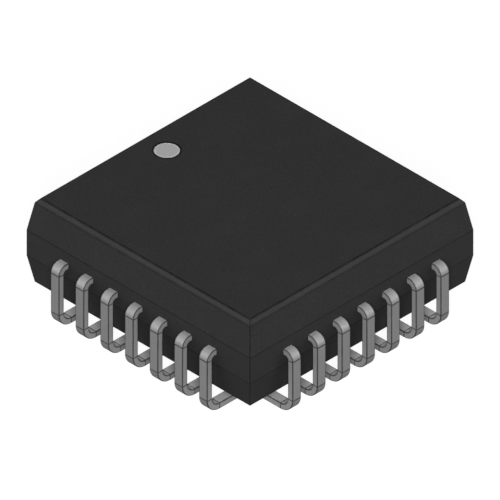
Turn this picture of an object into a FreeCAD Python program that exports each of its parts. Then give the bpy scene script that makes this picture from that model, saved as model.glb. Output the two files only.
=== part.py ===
import FreeCAD, Part
import math
import os

# A square plastic leaded chip carrier with J-shaped leads on its four sides.
# All sizes are in millimetres and all angles in degrees. The origin is the centre of the
# package on the plane of the solder feet, +Z is up and +Y is the side with pin 1 and its dot.

# Leads, stamped and formed from one sheet with the die paddle
LEADS_PER_SIDE = 7
LEAD_PITCH = 1.27
LEAD_WIDTH = 0.43
SHEET_THICKNESS = 0.254
SHOULDER_STUB = 0.089
SHOULDER_INNER_RADIUS = 0.127
HEEL_INNER_RADIUS = 0.381
TIP_INNER_RADIUS = 0.127
FOOT_CORNER_GAP = 0.294
TIP_TUCK = 0.10
POCKET_CLEARANCE = 0.09

# Moulded body, measured from its parting plane, which is the middle of the lead sheet
STANDOFF = 0.85
LOWER_HALF_HEIGHT = 1.75
UPPER_HALF_HEIGHT = 1.97
BAND_HEIGHT = 1.13
CORNER_MARGIN = 1.943
UPPER_DRAFT = 9.7
LOWER_DRAFT = 10.1
BEVEL_WIDTH = 0.16
BEVEL_HEIGHT = 0.19

# Pin 1 dot, an ink disc in a shallow dimple of the top face
DOT_DIAMETER = 0.96
DOT_INSET = 1.11
INK_THICKNESS = 0.04
INK_SINK = 0.01

# Silicon die on its paddle
DIE_SIDE = 3.6
DIE_THICKNESS = 0.36
ATTACH_THICKNESS = 0.025
ATTACH_OVERHANG = 0.05
PADDLE_MARGIN = 0.70
PADDLE_DOWNSET = 0.25
RAMP_LEAD_IN = 0.20
RAMP_ANGLE = 45.0
TIE_BAR_WIDTH = 0.30
TIE_BAR_COVER = 0.35

# Inner fingers of the leads
NECK_LENGTH = 0.15
ANCHOR_TAPER = 0.10
ANCHOR_LENGTH = 0.50
ANCHOR_GAP = 0.53
FINGER_ROOT_WIDTH = 0.34
FINGER_TIP_WIDTH = 0.30
FINGER_TIP_LENGTH = 0.40
FINGER_TO_PADDLE = 0.35
FINGER_TO_TIE_BAR = 0.30

# Gold bond wires
WIRE_DIAMETER = 0.033
WIRE_NECK = 0.07
WIRE_BEND_RADIUS = 0.08
BALL_DIAMETER = 0.09
BALL_HEIGHT = 0.04
PAD_INSET = 0.12
PAD_CORNER_INSET = 0.40
STITCH_INSET = 0.20

# The four sides in pin order, counter-clockwise from above, each turned from the +X side
SIDE_TURNS = (90.0, 180.0, 270.0, 0.0)
MIDDLE_SLOT = LEADS_PER_SIDE // 2
LEAD_COUNT = LEADS_PER_SIDE * len(SIDE_TURNS)

# Heights that follow
UNDERSIDE = STANDOFF
PARTING_PLANE = UNDERSIDE + LOWER_HALF_HEIGHT
TOP_FACE = PARTING_PLANE + UPPER_HALF_HEIGHT
SHEET_TOP = PARTING_PLANE + SHEET_THICKNESS / 2
SHEET_BOTTOM = PARTING_PLANE - SHEET_THICKNESS / 2
PADDLE_TOP = SHEET_TOP - PADDLE_DOWNSET
ATTACH_TOP = PADDLE_TOP + ATTACH_THICKNESS
DIE_TOP = ATTACH_TOP + DIE_THICKNESS

# Distances from the middle of the package that follow
ROW_HALF = LEAD_PITCH * (LEADS_PER_SIDE - 1) / 2
BODY_HALF = ROW_HALF + CORNER_MARGIN
SHOULDER_RADIUS = SHOULDER_INNER_RADIUS + SHEET_THICKNESS
HEEL_RADIUS = HEEL_INNER_RADIUS + SHEET_THICKNESS
TIP_RADIUS = TIP_INNER_RADIUS + SHEET_THICKNESS
LEAD_OUTER = BODY_HALF + SHOULDER_STUB + SHOULDER_RADIUS
LEAD_TIP = ROW_HALF + LEAD_WIDTH / 2 + FOOT_CORNER_GAP
PADDLE_HALF = DIE_SIDE / 2 + PADDLE_MARGIN
FINGER_TIP = PADDLE_HALF + FINGER_TO_PADDLE
TIE_BAR_EDGE = TIE_BAR_WIDTH / 2 * math.sqrt(2)
FINGER_ROW_HALF = FINGER_TIP - TIE_BAR_EDGE - FINGER_TO_TIE_BAR - FINGER_TIP_WIDTH / 2
PAD_LINE = DIE_SIDE / 2 - PAD_INSET
PAD_ROW_HALF = DIE_SIDE / 2 - PAD_CORNER_INSET
STITCH_LINE = FINGER_TIP + STITCH_INSET

UP = FreeCAD.Vector(0, 0, 1)
CENTRE = FreeCAD.Vector(0, 0, 0)


def row_place(slot, row_half):
    """How far a slot of a side's row lies from the middle of a row of that half length."""
    return row_half * (2 * slot / (LEADS_PER_SIDE - 1) - 1)


def on_side(shape, turn):
    """A copy of a shape built on the +X side, turned onto another side."""
    copy = shape.copy()
    copy.rotate(CENTRE, UP, turn)
    return copy


def rounded_face(corners):
    """A flat face in the XY plane from corners (x, y, radius), each rounded by its radius."""
    starts = []
    middles = []
    ends = []
    for index, (x, y, radius) in enumerate(corners):
        corner = FreeCAD.Vector(x, y, 0)
        before = FreeCAD.Vector(*corners[index - 1][:2], 0) - corner
        after = FreeCAD.Vector(*corners[(index + 1) % len(corners)][:2], 0) - corner
        half_angle = before.getAngle(after) / 2
        before.normalize()
        after.normalize()
        bisector = (before + after).normalize() if radius else before
        setback = radius / math.tan(half_angle)
        starts.append(corner + before * setback)
        middles.append(corner + bisector * (radius / math.sin(half_angle) - radius))
        ends.append(corner + after * setback)
    edges = []
    for index, (x, y, radius) in enumerate(corners):
        if radius:
            edges.append(Part.Arc(starts[index], middles[index], ends[index]).toShape())
        following = starts[(index + 1) % len(corners)]
        if ends[index].distanceToPoint(following) > 1e-7:
            edges.append(Part.makeLine(ends[index], following))
    return Part.Face(Part.Wire(edges))


def upright_strip(corners, width):
    """A strip whose side view (distance from the middle, height) is given, centred on the X axis."""
    face = rounded_face(corners)
    face.rotate(CENTRE, FreeCAD.Vector(1, 0, 0), 90)
    face.translate(FreeCAD.Vector(0, -width / 2, 0))
    return face.extrude(FreeCAD.Vector(0, width, 0))


def square_plate(half, bottom, top):
    """A square plate about the middle of the package."""
    corner = FreeCAD.Vector(-half, -half, bottom)
    return Part.makeBox(2 * half, 2 * half, top - bottom, corner)


def formed_strip():
    """The part of a lead outside the body: shoulder, leg, heel, foot and turned-up tip."""
    tip_end = UNDERSIDE + TIP_TUCK
    inner_face = LEAD_OUTER - SHEET_THICKNESS
    tip_face = LEAD_TIP + SHEET_THICKNESS
    side_view = [
        (BODY_HALF, SHEET_TOP, 0),
        (LEAD_OUTER, SHEET_TOP, SHOULDER_RADIUS),
        (LEAD_OUTER, 0, HEEL_RADIUS),
        (LEAD_TIP, 0, TIP_RADIUS),
        (LEAD_TIP, tip_end, 0),
        (tip_face, tip_end, 0),
        (tip_face, SHEET_THICKNESS, TIP_INNER_RADIUS),
        (inner_face, SHEET_THICKNESS, HEEL_INNER_RADIUS),
        (inner_face, SHEET_BOTTOM, SHOULDER_INNER_RADIUS),
        (BODY_HALF, SHEET_BOTTOM, 0),
    ]
    return upright_strip(side_view, LEAD_WIDTH)


def inner_finger(slot):
    """The part of a lead inside the body: neck, wide anchor and slanted finger."""
    line = row_place(slot, ROW_HALF)
    tip_line = row_place(slot, FINGER_ROW_HALF)
    neck_end = BODY_HALF - NECK_LENGTH
    anchor_start = neck_end - ANCHOR_TAPER
    anchor_end = anchor_start - ANCHOR_LENGTH
    stations = [
        (BODY_HALF, line, LEAD_WIDTH),
        (neck_end, line, LEAD_WIDTH),
        (anchor_start, line, LEAD_PITCH - ANCHOR_GAP),
        (anchor_end, line, LEAD_PITCH - ANCHOR_GAP),
        (anchor_end - ANCHOR_TAPER, line, FINGER_ROOT_WIDTH),
        (FINGER_TIP + FINGER_TIP_LENGTH, tip_line, FINGER_TIP_WIDTH),
        (FINGER_TIP, tip_line, FINGER_TIP_WIDTH),
    ]
    left_edge = [(reach, middle + width / 2, 0) for reach, middle, width in stations]
    right_edge = [(reach, middle - width / 2, 0) for reach, middle, width in reversed(stations)]
    face = rounded_face(left_edge + right_edge)
    face.translate(FreeCAD.Vector(0, 0, SHEET_BOTTOM))
    return face.extrude(FreeCAD.Vector(0, 0, SHEET_THICKNESS))


def lead(slot):
    """A whole lead on the +X side, from its foot to the tip of its inner finger."""
    outside = formed_strip()
    outside.translate(FreeCAD.Vector(0, row_place(slot, ROW_HALF), 0))
    return outside.fuse(inner_finger(slot)).removeSplitter()


def tip_pocket(slot):
    """The hollow in the underside that takes a lead's tip, with clearance all round."""
    corner = FreeCAD.Vector(
        LEAD_TIP - POCKET_CLEARANCE,
        row_place(slot, ROW_HALF) - LEAD_WIDTH / 2 - POCKET_CLEARANCE,
        UNDERSIDE,
    )
    length = SHEET_THICKNESS + 2 * POCKET_CLEARANCE
    width = LEAD_WIDTH + 2 * POCKET_CLEARANCE
    return Part.makeBox(length, width, TIP_TUCK + POCKET_CLEARANCE, corner)


def tie_bar():
    """One of the paddle's four tie bars, with its ramp from the paddle to the lead sheet."""
    corner_reach = PADDLE_HALF * math.sqrt(2)
    root = corner_reach - TIE_BAR_WIDTH
    ramp_start = corner_reach + RAMP_LEAD_IN
    ramp_end = ramp_start + PADDLE_DOWNSET / math.tan(math.radians(RAMP_ANGLE))
    end = (BODY_HALF - TIE_BAR_COVER) * math.sqrt(2) - TIE_BAR_WIDTH / 2
    fold_shift = SHEET_THICKNESS * math.tan(math.radians(RAMP_ANGLE / 2))
    paddle_bottom = PADDLE_TOP - SHEET_THICKNESS
    side_view = [
        (root, paddle_bottom, 0),
        (ramp_start, paddle_bottom, 0),
        (ramp_end, SHEET_BOTTOM, 0),
        (end, SHEET_BOTTOM, 0),
        (end, SHEET_TOP, 0),
        (ramp_end - fold_shift, SHEET_TOP, 0),
        (ramp_start - fold_shift, PADDLE_TOP, 0),
        (root, PADDLE_TOP, 0),
    ]
    return on_side(upright_strip(side_view, TIE_BAR_WIDTH), 45)


def die_paddle():
    """The square paddle and its four tie bars, stamped in one piece."""
    plate = square_plate(PADDLE_HALF, PADDLE_TOP - SHEET_THICKNESS, PADDLE_TOP)
    bars = [on_side(tie_bar(), turn) for turn in SIDE_TURNS]
    return plate.fuse(bars).removeSplitter()


def die_attach():
    """The thin layer that glues the die to its paddle."""
    return square_plate(DIE_SIDE / 2 + ATTACH_OVERHANG, PADDLE_TOP, ATTACH_TOP)


def silicon_die():
    """The chip itself."""
    return square_plate(DIE_SIDE / 2, ATTACH_TOP, DIE_TOP)


def bond_wire(slot):
    """A gold wire from its ball on a die pad to its ball on the tip of an inner finger."""
    pad = FreeCAD.Vector(PAD_LINE, row_place(slot, PAD_ROW_HALF), DIE_TOP)
    stitch = FreeCAD.Vector(STITCH_LINE, row_place(slot, FINGER_ROW_HALF), SHEET_TOP)
    outward = FreeCAD.Vector(stitch.x - pad.x, stitch.y - pad.y, 0)
    span = outward.Length
    outward.normalize()
    start = pad + UP * (BALL_HEIGHT / 2)
    neck_top = pad + UP * (BALL_HEIGHT + WIRE_NECK)
    bend_centre = neck_top + outward * WIRE_BEND_RADIUS
    end = stitch + UP * (BALL_HEIGHT / 2)

    # The straight run leaves the bend on the tangent that meets the second ball.
    drop = math.atan2(end.z - bend_centre.z, span - WIRE_BEND_RADIUS)
    leave = drop + math.acos(WIRE_BEND_RADIUS / bend_centre.distanceToPoint(end))
    halfway = (math.pi + leave) / 2

    def on_bend(angle):
        across = outward * (WIRE_BEND_RADIUS * math.cos(angle))
        return bend_centre + across + UP * (WIRE_BEND_RADIUS * math.sin(angle))

    path = Part.Wire([
        Part.makeLine(start, neck_top),
        Part.Arc(neck_top, on_bend(halfway), on_bend(leave)).toShape(),
        Part.makeLine(on_bend(leave), end),
    ])
    section = Part.Wire([Part.makeCircle(WIRE_DIAMETER / 2, start, UP)])
    wire = path.makePipeShell([section], True, True)
    balls = [Part.makeCylinder(BALL_DIAMETER / 2, BALL_HEIGHT, foot, UP) for foot in (pad, stitch)]
    return wire.fuse(balls)


def body_block():
    """The outside of the moulding: bevel, upper draft, upright band and lower draft."""
    band_top = PARTING_PLANE + BAND_HEIGHT / 2
    band_bottom = PARTING_PLANE - BAND_HEIGHT / 2
    bevel_foot = TOP_FACE - BEVEL_HEIGHT
    bevel_half = BODY_HALF - (bevel_foot - band_top) * math.tan(math.radians(UPPER_DRAFT))
    bottom_half = BODY_HALF - (band_bottom - UNDERSIDE) * math.tan(math.radians(LOWER_DRAFT))
    levels = [
        (bottom_half, UNDERSIDE),
        (BODY_HALF, band_bottom),
        (BODY_HALF, band_top),
        (bevel_half, bevel_foot),
        (bevel_half - BEVEL_WIDTH, TOP_FACE),
    ]
    corner_signs = ((1, 1), (-1, 1), (-1, -1), (1, -1))
    rings = []
    for half, height in levels:
        rings.append([FreeCAD.Vector(half * x, half * y, height) for x, y in corner_signs])
    outlines = [rings[0], rings[-1]]
    for lower, upper in zip(rings, rings[1:]):
        for index in range(len(corner_signs)):
            following = (index + 1) % len(corner_signs)
            outlines.append([lower[index], lower[following], upper[following], upper[index]])
    faces = [Part.Face(Part.makePolygon(outline + outline[:1])) for outline in outlines]
    solid = Part.Solid(Part.makeShell(faces))
    return solid, bevel_half - BEVEL_WIDTH


def dot_centre(top_half, height):
    """The dot's middle, beside the middle lead of the pin 1 side."""
    return FreeCAD.Vector(0, top_half - DOT_INSET, height)


def pin_1_dot(top_half):
    """The ink disc that marks pin 1."""
    floor = dot_centre(top_half, TOP_FACE - INK_SINK - INK_THICKNESS)
    return Part.makeCylinder(DOT_DIAMETER / 2, INK_THICKNESS, floor, UP)


def dot_dimple(top_half):
    """The shallow dimple in the top face that holds the ink."""
    floor = dot_centre(top_half, TOP_FACE - INK_SINK - INK_THICKNESS)
    return Part.makeCylinder(DOT_DIAMETER / 2, INK_THICKNESS + INK_SINK, floor, UP)


def build_parts():
    """Every piece by its name, with the body moulded round the embedded ones."""
    pieces = {}
    pockets = []
    wires = []
    slots = range(LEADS_PER_SIDE)
    side_leads = [lead(slot) for slot in slots]
    side_wires = [bond_wire(slot) for slot in slots]
    side_pockets = [tip_pocket(slot) for slot in slots]
    for side, turn in enumerate(SIDE_TURNS):
        first = side * LEADS_PER_SIDE
        for slot in slots:
            pin = (first + slot - MIDDLE_SLOT) % LEAD_COUNT + 1
            pieces[f"lead_{pin:02d}"] = on_side(side_leads[slot], turn)
            pockets.append(on_side(side_pockets[slot], turn))
        group = [on_side(wire, turn) for wire in side_wires]
        pieces[f"bond_wires_pin_{first + 1:02d}_side"] = Part.makeCompound(group)
        wires += group
    pieces["die_paddle"] = die_paddle()
    pieces["die_attach"] = die_attach()
    pieces["silicon_die"] = silicon_die()
    embedded = [piece for name, piece in pieces.items() if "wires" not in name] + wires

    block, top_half = body_block()
    pieces["pin_1_dot"] = pin_1_dot(top_half)
    pieces["moulded_body"] = block.cut(embedded + pockets + [dot_dimple(top_half)])
    return pieces


os.makedirs("parts", exist_ok=True)
for node, shape in build_parts().items():
    shape.exportStep(f"parts/{node}.step")
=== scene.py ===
"""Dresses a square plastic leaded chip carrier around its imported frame.

The package lies on its solder feet, +Z up and +Y towards the side with the pin 1 dot. Meshes are
modelled in millimetres and turned into metres when they are finished. In the finishes, widths and
depths are in millimetres, cells count the noise in a millimetre, and the rest are shares of 0 to 1.
"""

import logging
import math
from dataclasses import dataclass
from enum import Enum

import bmesh
import bpy
from mathutils import Matrix, Vector


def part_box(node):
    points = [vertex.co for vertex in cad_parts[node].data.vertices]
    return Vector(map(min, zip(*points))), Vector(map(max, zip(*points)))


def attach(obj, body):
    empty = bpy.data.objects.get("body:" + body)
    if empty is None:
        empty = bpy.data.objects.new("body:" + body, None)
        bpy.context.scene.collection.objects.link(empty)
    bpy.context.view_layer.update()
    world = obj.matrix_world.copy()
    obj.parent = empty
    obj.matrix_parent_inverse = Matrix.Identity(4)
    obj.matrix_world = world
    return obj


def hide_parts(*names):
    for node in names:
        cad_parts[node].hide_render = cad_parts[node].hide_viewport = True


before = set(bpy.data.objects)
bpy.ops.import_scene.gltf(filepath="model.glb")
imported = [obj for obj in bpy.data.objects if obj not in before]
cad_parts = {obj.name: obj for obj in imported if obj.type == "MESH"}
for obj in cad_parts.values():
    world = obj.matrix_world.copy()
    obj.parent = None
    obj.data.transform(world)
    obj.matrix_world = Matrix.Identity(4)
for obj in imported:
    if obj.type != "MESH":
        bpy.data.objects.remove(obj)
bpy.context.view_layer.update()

LOG = logging.getLogger("chip_carrier")
MM = 0.001
MERGE_METRES = 1e-6
NO_SIZE = 1e-5
RIM_ARC = 0.3
WHITE = (1.0, 1.0, 1.0)
Colour = tuple[float, float, float]
Span = tuple[float, float]
Spans = list[tuple[float, float]]


class Side(Enum):
    """The four sides in pin order, each with its turn in degrees from the +X side."""

    PIN_1 = 90.0
    PIN_8 = 180.0
    PIN_15 = 270.0
    PIN_22 = 0.0


class Signal:
    """An output socket of a node tree, on which arithmetic adds Math nodes."""

    def __init__(self, graph: "Graph", socket: bpy.types.NodeSocket) -> None:
        """Wraps a socket of the tree that the graph builds."""
        self.graph = graph
        self.socket = socket

    def math(self, operation: str, *others: "Term") -> "Signal":
        """Adds a Math node with this as its first operand, and returns its result."""
        return self.graph.arithmetic(operation, self, *others)

    def max(self, other: "Term") -> "Signal":
        """The larger of this and other."""
        return self.math("MAXIMUM", other)

    def swing(self, share: float) -> "Signal":
        """This signal of 0 to 1 as a swing of half a share down and up."""
        return (self - 0.5) * share

    def __add__(self, other: "Term") -> "Signal":
        """This plus other."""
        return self.math("ADD", other)

    __radd__ = __add__

    def __mul__(self, other: "Term") -> "Signal":
        """This times other."""
        return self.math("MULTIPLY", other)

    __rmul__ = __mul__

    def __sub__(self, other: "Term") -> "Signal":
        """This minus other."""
        return self.math("SUBTRACT", other)

    def __rsub__(self, other: "Term") -> "Signal":
        """Other minus this."""
        return self.graph.arithmetic("SUBTRACT", other, self)

    def __truediv__(self, other: "Term") -> "Signal":
        """This divided by other."""
        return self.math("DIVIDE", other)

    def __gt__(self, other: "Term") -> "Signal":
        """1 where this is above other, else 0."""
        return self.math("GREATER_THAN", other)

    def __lt__(self, other: "Term") -> "Signal":
        """1 where this is below other, else 0."""
        return self.math("LESS_THAN", other)

    def __abs__(self) -> "Signal":
        """This without its sign."""
        return self.math("ABSOLUTE")


Term = Signal | float


class Graph:
    """Builds a node tree: shader or geometry."""

    def __init__(self, tree: bpy.types.NodeTree) -> None:
        """Starts on an empty tree."""
        self.tree = tree

    def node(self, kind: str, settings: dict | None = None, values: dict | None = None) -> bpy.types.Node:
        """Adds a node.

        Args:
            kind: The node's type.
            settings: Its properties, set first.
            values: A number, vector, datablock or signal for each input named or numbered.

        Returns:
            The node.
        """
        node = self.tree.nodes.new(kind)
        for name, value in (settings or {}).items():
            setattr(node, name, value)
        for name, value in (values or {}).items():
            self.feed(node.inputs[name], value)
        return node

    def feed(self, socket: bpy.types.NodeSocket, value: object) -> None:
        """Links a signal into a socket, or sets the socket's own value.

        Args:
            socket: An input of a node.
            value: A signal, or the socket's own value. A colour may go without its alpha.
        """
        if isinstance(value, Signal):
            self.tree.links.new(value.socket, socket)
        elif isinstance(value, tuple) and socket.type == "RGBA" and len(value) == 3:
            socket.default_value = (*value, 1.0)
        else:
            socket.default_value = value

    def signal(
        self, kind: str, settings: dict | None = None, values: dict | None = None, output: str | int = 0
    ) -> Signal:
        """Adds a node as node does, and returns one of its outputs."""
        return Signal(self, self.node(kind, settings, values).outputs[output])

    def arithmetic(self, operation: str, *terms: Term) -> Signal:
        """Adds a Math node on numbers or signals."""
        return self.signal("ShaderNodeMath", {"operation": operation}, dict(enumerate(terms)))

    def ramp(self, value: Signal, low: Term, high: Term, start: Term = 0.0, end: Term = 1.0) -> Signal:
        """Maps value from low..high onto start..end, clamped at both ends."""
        places = {"Value": value, "From Min": low, "From Max": high, "To Min": start, "To Max": end}
        return self.signal("ShaderNodeMapRange", {"clamp": True}, places)

    def vector(self, x: Term, y: Term, z: Term) -> Signal:
        """Joins three numbers or signals into a vector."""
        return self.signal("ShaderNodeCombineXYZ", None, {0: x, 1: y, 2: z})

    def split(self, vector: Signal) -> tuple[Signal, Signal, Signal]:
        """The three parts of a vector."""
        node = self.node("ShaderNodeSeparateXYZ", None, {0: vector})
        return tuple(Signal(self, node.outputs[axis]) for axis in range(3))


class ShaderGraph(Graph):
    """Builds one material around a Principled shader."""

    def __init__(self, name: str) -> None:
        """Makes the material and empties its tree.

        Args:
            name: The material's name.
        """
        self.material = bpy.data.materials.new(name)
        self.material.use_nodes = True
        super().__init__(self.material.node_tree)
        self.tree.nodes.clear()
        self.output = self.node("ShaderNodeOutputMaterial")

    def millimetres(self, squeeze: tuple[float, float, float] = (1.0, 1.0, 1.0)) -> Signal:
        """The place on the piece.

        Args:
            squeeze: What each axis is multiplied by.

        Returns:
            The place in millimetres.
        """
        place = self.signal("ShaderNodeTexCoord", None, None, "Object")
        scale = tuple(factor / MM for factor in squeeze)
        return self.signal("ShaderNodeVectorMath", {"operation": "MULTIPLY"}, {0: place, 1: scale})

    def from_axis(self, place: Signal, middle: float) -> Signal:
        """How far a place lies from the upright axis that stands at x 0 and y middle."""
        x, y, _ = self.split(place)
        return (x * x + (y - middle) * (y - middle)).math("SQRT")

    def noise(self, place: Signal, scale: float, detail: float = 2.0, roughness: float = 0.5) -> Signal:
        """Noise from 0 to 1 with scale cells in each unit of place."""
        values = {"Vector": place, "Scale": scale, "Detail": detail, "Roughness": roughness}
        return self.signal("ShaderNodeTexNoise", None, values, "Fac")

    def mix(self, factor: Term, first: Colour | Signal, second: Colour | Signal) -> Signal:
        """A colour between first and second."""
        values = {0: factor, 6: first, 7: second}
        return self.signal("ShaderNodeMix", {"data_type": "RGBA"}, values, 2)

    def bump(self, height: Signal, depth: float) -> Signal:
        """A normal bumped by a height of 0 to 1 that stands for depth millimetres."""
        values = {"Height": height, "Distance": depth * MM, "Strength": 1.0}
        return self.signal("ShaderNodeBump", None, values, "Normal")

    def surface(self, shader: Signal) -> bpy.types.Material:
        """Ends the tree in a shader, and returns the material."""
        self.feed(self.output.inputs["Surface"], shader)
        return self.material

    def principled(self, values: dict) -> bpy.types.Material:
        """Ends the tree in a Principled shader with these inputs, and returns the material."""
        return self.surface(self.signal("ShaderNodeBsdfPrincipled", None, values))


class GeometryGraph(Graph):
    """Builds one geometry tree, whose sizes are named inputs."""

    def __init__(self, name: str, values: dict[str, float]) -> None:
        """Makes the tree.

        Args:
            name: The tree's name.
            values: The named inputs, in millimetres or degrees, with their values.
        """
        super().__init__(bpy.data.node_groups.new(name, "GeometryNodeTree"))
        geometry = "NodeSocketGeometry"
        self.tree.interface.new_socket("Geometry", in_out="INPUT", socket_type=geometry)
        self.tree.interface.new_socket("Geometry", in_out="OUTPUT", socket_type=geometry)
        self.identifiers = {}
        for label, value in values.items():
            socket = self.tree.interface.new_socket(label, in_out="INPUT", socket_type="NodeSocketFloat")
            socket.default_value = value
            self.identifiers[label] = socket.identifier
        self.inputs = self.node("NodeGroupInput")

    def size(self, label: str) -> Signal:
        """The signal of a named input."""
        return Signal(self, self.inputs.outputs[label])

    def pick(self, data_type: str, choices: list) -> Signal:
        """Makes a field that takes one choice for each point, by the point's index.

        Args:
            data_type: FLOAT or VECTOR.
            choices: A number or signal for each point.

        Returns:
            The field.
        """
        node = self.node("GeometryNodeIndexSwitch", {"data_type": data_type})
        for _ in range(len(choices) - 2):
            node.index_switch_items.new()
        self.feed(node.inputs["Index"], self.signal("GeometryNodeInputIndex"))
        for number, choice in enumerate(choices):
            self.feed(node.inputs[str(number)], choice)
        return Signal(self, node.outputs[0])

    def polyline(self, places: list[Signal]) -> Signal:
        """Makes a curve of straight runs.

        Args:
            places: The vectors that the curve goes through.

        Returns:
            The curve.
        """
        line = self.signal("GeometryNodeCurvePrimitiveLine")
        points = self.signal("GeometryNodeResampleCurve", None, {"Curve": line, "Count": len(places)})
        return self.move_points(points, self.pick("VECTOR", places))

    def fillet(self, curve: Signal, radii: list[Term], steps: int) -> Signal:
        """Rounds each corner of a curve by its own radius, with an arc of that many steps."""
        values = {"Curve": curve, "Count": steps, "Radius": self.pick("FLOAT", radii), "Limit Radius": True}
        return self.signal("GeometryNodeFilletCurve", {"mode": "POLY"}, values)

    def position(self) -> Signal:
        """The field of each point's place."""
        return self.signal("GeometryNodeInputPosition")

    def move_points(self, geometry: Signal, places: Signal) -> Signal:
        """Puts every point of a geometry at its place."""
        return self.signal("GeometryNodeSetPosition", None, {"Geometry": geometry, "Position": places})

    def turn(self, geometry: Signal, degrees: Signal) -> Signal:
        """Turns a geometry about the upright axis."""
        values = {"Geometry": geometry, "Rotation": self.vector(0.0, 0.0, degrees.math("RADIANS"))}
        return self.signal("GeometryNodeTransform", None, values)

    def capture(self, geometry: Signal, kind: str, value: Signal) -> tuple[Signal, Signal]:
        """Keeps a field on the points as they are now.

        Args:
            geometry: The geometry that carries the field.
            kind: FLOAT or VECTOR.
            value: The field.

        Returns:
            The geometry, and the kept field.
        """
        node = self.node("GeometryNodeCaptureAttribute", {"domain": "POINT"})
        node.capture_items.new(kind, "Kept")
        self.feed(node.inputs["Geometry"], geometry)
        self.feed(node.inputs["Kept"], value)
        return Signal(self, node.outputs["Geometry"]), Signal(self, node.outputs["Kept"])

    def store(self, geometry: Signal, name: str, kind: str, value: Signal) -> Signal:
        """Writes a field to a named attribute of the points, for a material to read."""
        values = {"Geometry": geometry, "Name": name, "Value": value}
        return self.signal("GeometryNodeStoreNamedAttribute", {"data_type": kind, "domain": "POINT"}, values)

    def finish(self, geometry: Signal, material: bpy.types.Material) -> None:
        """Ends the tree in real geometry with a material.

        Args:
            geometry: What the tree has made.
            material: Its material.
        """
        real = self.signal("GeometryNodeRealizeInstances", None, {"Geometry": geometry})
        done = self.signal("GeometryNodeSetMaterial", None, {"Geometry": real, "Material": material})
        self.node("NodeGroupOutput", None, {0: done})


class Workshop:
    """Turns trees, modifiers and bmesh outlines into finished pieces of the model."""

    @staticmethod
    def blank(name: str, data: bpy.types.ID | None = None) -> bpy.types.Object:
        """Puts an object in the scene.

        Args:
            name: Its name.
            data: Its mesh, lamp or camera, or None for an empty mesh.

        Returns:
            The object.
        """
        thing = bpy.data.objects.new(name, data or bpy.data.meshes.new(name))
        bpy.context.scene.collection.objects.link(thing)
        return thing

    @staticmethod
    def solid(
        name: str, shape: bmesh.types.BMesh, material: bpy.types.Material | None = None
    ) -> bpy.types.Object:
        """Turns a finished outline into an object.

        Args:
            name: The object's name.
            shape: The outline, which is freed.
            material: The object's material, if it has one.

        Returns:
            The object.
        """
        thing = Workshop.blank(name)
        shape.to_mesh(thing.data)
        shape.free()
        if material:
            thing.data.materials.append(material)
        return thing

    @staticmethod
    def aim(thing: bpy.types.Object, target: Vector, way: Vector, distance: float) -> None:
        """Puts a lamp or camera at a distance from its target, facing it."""
        thing.location = target + way * distance
        thing.rotation_euler = way.to_track_quat("Z", "Y").to_euler()

    @staticmethod
    def grow(thing: bpy.types.Object, graph: GeometryGraph, values: dict[str, float]) -> None:
        """Puts a geometry tree on an object.

        Args:
            thing: The object.
            graph: The tree.
            values: The named inputs that differ from the tree's own.
        """
        modifier = thing.modifiers.new(graph.tree.name, "NODES")
        modifier.node_group = graph.tree
        for label, value in values.items():
            modifier[graph.identifiers[label]] = value

    @staticmethod
    def settle(thing: bpy.types.Object) -> bpy.types.Object:
        """Replaces an object's modifiers by the plain mesh that they make.

        Args:
            thing: The object.

        Returns:
            The same object.
        """
        depsgraph = bpy.context.evaluated_depsgraph_get()
        evaluated = thing.evaluated_get(depsgraph)
        mesh = bpy.data.meshes.new_from_object(evaluated, preserve_all_data_layers=True, depsgraph=depsgraph)
        thing.modifiers.clear()
        thing.data = mesh
        mesh.name = thing.name
        return thing

    @staticmethod
    def sharpen(thing: bpy.types.Object, angle: float) -> None:
        """Smooths an object's faces and keeps its flats flat.

        Args:
            thing: The object.
            angle: In degrees. Edges that turn more stay sharp.
        """
        mesh = thing.data
        mesh.shade_smooth()
        mesh.set_sharp_from_angle(angle=math.radians(angle))
        modifier = thing.modifiers.new("even_normals", "WEIGHTED_NORMAL")
        modifier.mode = "FACE_AREA"
        modifier.weight = 100
        modifier.keep_sharp = True
        Workshop.settle(thing)

    @staticmethod
    def carve(thing: bpy.types.Object, cutters: list[bpy.types.Object]) -> None:
        """Cuts closed meshes out of an object, and drops the faces of no size that this leaves.

        Args:
            thing: The object, in millimetres.
            cutters: Objects with closed meshes.
        """
        for cutter in cutters:
            modifier = thing.modifiers.new(cutter.name, "BOOLEAN")
            modifier.operation = "DIFFERENCE"
            modifier.solver = "MANIFOLD"
            modifier.object = cutter
        Workshop.settle(thing)
        shape = bmesh.new()
        shape.from_mesh(thing.data)
        bmesh.ops.dissolve_degenerate(shape, edges=shape.edges, dist=NO_SIZE)
        shape.to_mesh(thing.data)
        shape.free()

    @staticmethod
    def scaled_copy(source: bpy.types.Object, factor: float) -> bpy.types.Object:
        """Copies an object.

        Args:
            source: The object, whose mesh may be loose triangles.
            factor: What the copy's mesh is scaled by.

        Returns:
            The copy, with its doubled points merged.
        """
        copy = Workshop.blank(f"{source.name}_copy", source.data.copy())
        shape = bmesh.new()
        shape.from_mesh(copy.data)
        bmesh.ops.scale(shape, vec=(factor,) * 3, verts=shape.verts)
        bmesh.ops.remove_doubles(shape, verts=shape.verts, dist=MERGE_METRES * factor)
        shape.to_mesh(copy.data)
        shape.free()
        return copy

    @staticmethod
    def deliver(thing: bpy.types.Object, slot: str, nodes: list[str]) -> bpy.types.Object:
        """Hands a piece over: metres, its body and the nodes that it stands for.

        Args:
            thing: The piece, modelled in millimetres.
            slot: Not used.
            nodes: The CAD nodes that it replaces.

        Returns:
            The piece.
        """
        thing.data.transform(Matrix.Scale(MM, 4))
        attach(thing, "root")
        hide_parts(*nodes)
        LOG.info("%s: %d faces", thing.name, len(thing.data.polygons))
        return thing


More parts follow.
